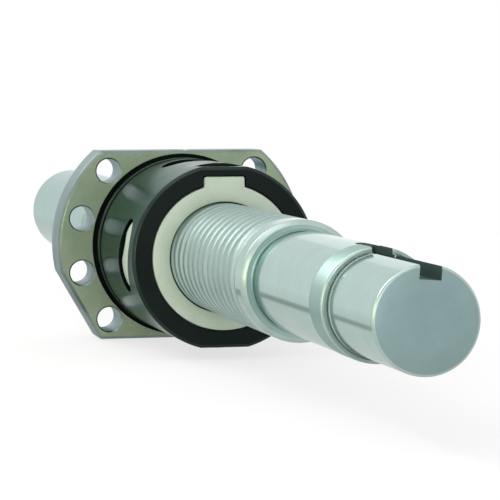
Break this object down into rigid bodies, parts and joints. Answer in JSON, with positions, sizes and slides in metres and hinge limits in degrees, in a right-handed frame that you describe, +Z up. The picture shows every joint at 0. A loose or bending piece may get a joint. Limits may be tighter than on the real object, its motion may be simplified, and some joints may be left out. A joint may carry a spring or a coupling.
{
  "type": "ball screw",
  "caption": "Ball screw with a flanged ball nut, internal ball returns, wipers, a bearing journal and a keyed drive journal.",
  "frame": {"origin": "on the screw axis, in the plane of the flange face that seats on the machine", "axes": "+X along the screw towards the drive end, +Z up through the flange's flat top edge"},
  "size_m": [0.5813, 0.093, 0.07],
  "materials": {
    "screw_shaft": "ground steel, satin",
    "nut_body": "hardened steel, ground outside, dark end face",
    "snap_ring": "spring steel, satin",
    "lube_plug": "steel, plain",
    "insert_plastic": "moulded plastic, matt",
    "wiper_plastic": "moulded plastic, matt",
    "ball_steel": "hardened and polished"
  },
  "bodies": {
    "nut": {"nut_body": "nut_body", "lube_plug": "lube_plug", "wiper_front": "wiper_plastic", "wiper_rear": "wiper_plastic", "return_insert_1": "insert_plastic", "return_insert_2": "insert_plastic", "return_insert_3": "insert_plastic", "return_insert_4": "insert_plastic", "ball_train_1": "ball_steel", "ball_train_2": "ball_steel", "ball_train_3": "ball_steel", "ball_train_4": "ball_steel", "return_ball_1a": "ball_steel", "return_ball_1b": "ball_steel", "return_ball_1c": "ball_steel", "return_ball_2a": "ball_steel", "return_ball_2b": "ball_steel", "return_ball_2c": "ball_steel", "return_ball_3a": "ball_steel", "return_ball_3b": "ball_steel", "return_ball_3c": "ball_steel", "return_ball_4a": "ball_steel", "return_ball_4b": "ball_steel", "return_ball_4c": "ball_steel"},
    "ring": {"snap_ring": "snap_ring"},
    "screw": {"screw_shaft": "screw_shaft"}
  },
  "joints": [
    {"name": "screw_travel", "type": "slide", "parent": "nut", "child": "ring", "axis": [1, 0, 0], "range_m": [-0.092, 0.1]},
    {"name": "screw_turn", "type": "hinge", "parent": "ring", "child": "screw", "pos_m": [0.27347, 0, 0], "axis": [1, 0, 0], "range_deg": [-4140, 4500]}
  ],
  "couplings": [
    {"joint": "screw_travel", "follows": "screw_turn", "m_per_rad": 0.0012732}
  ]
}
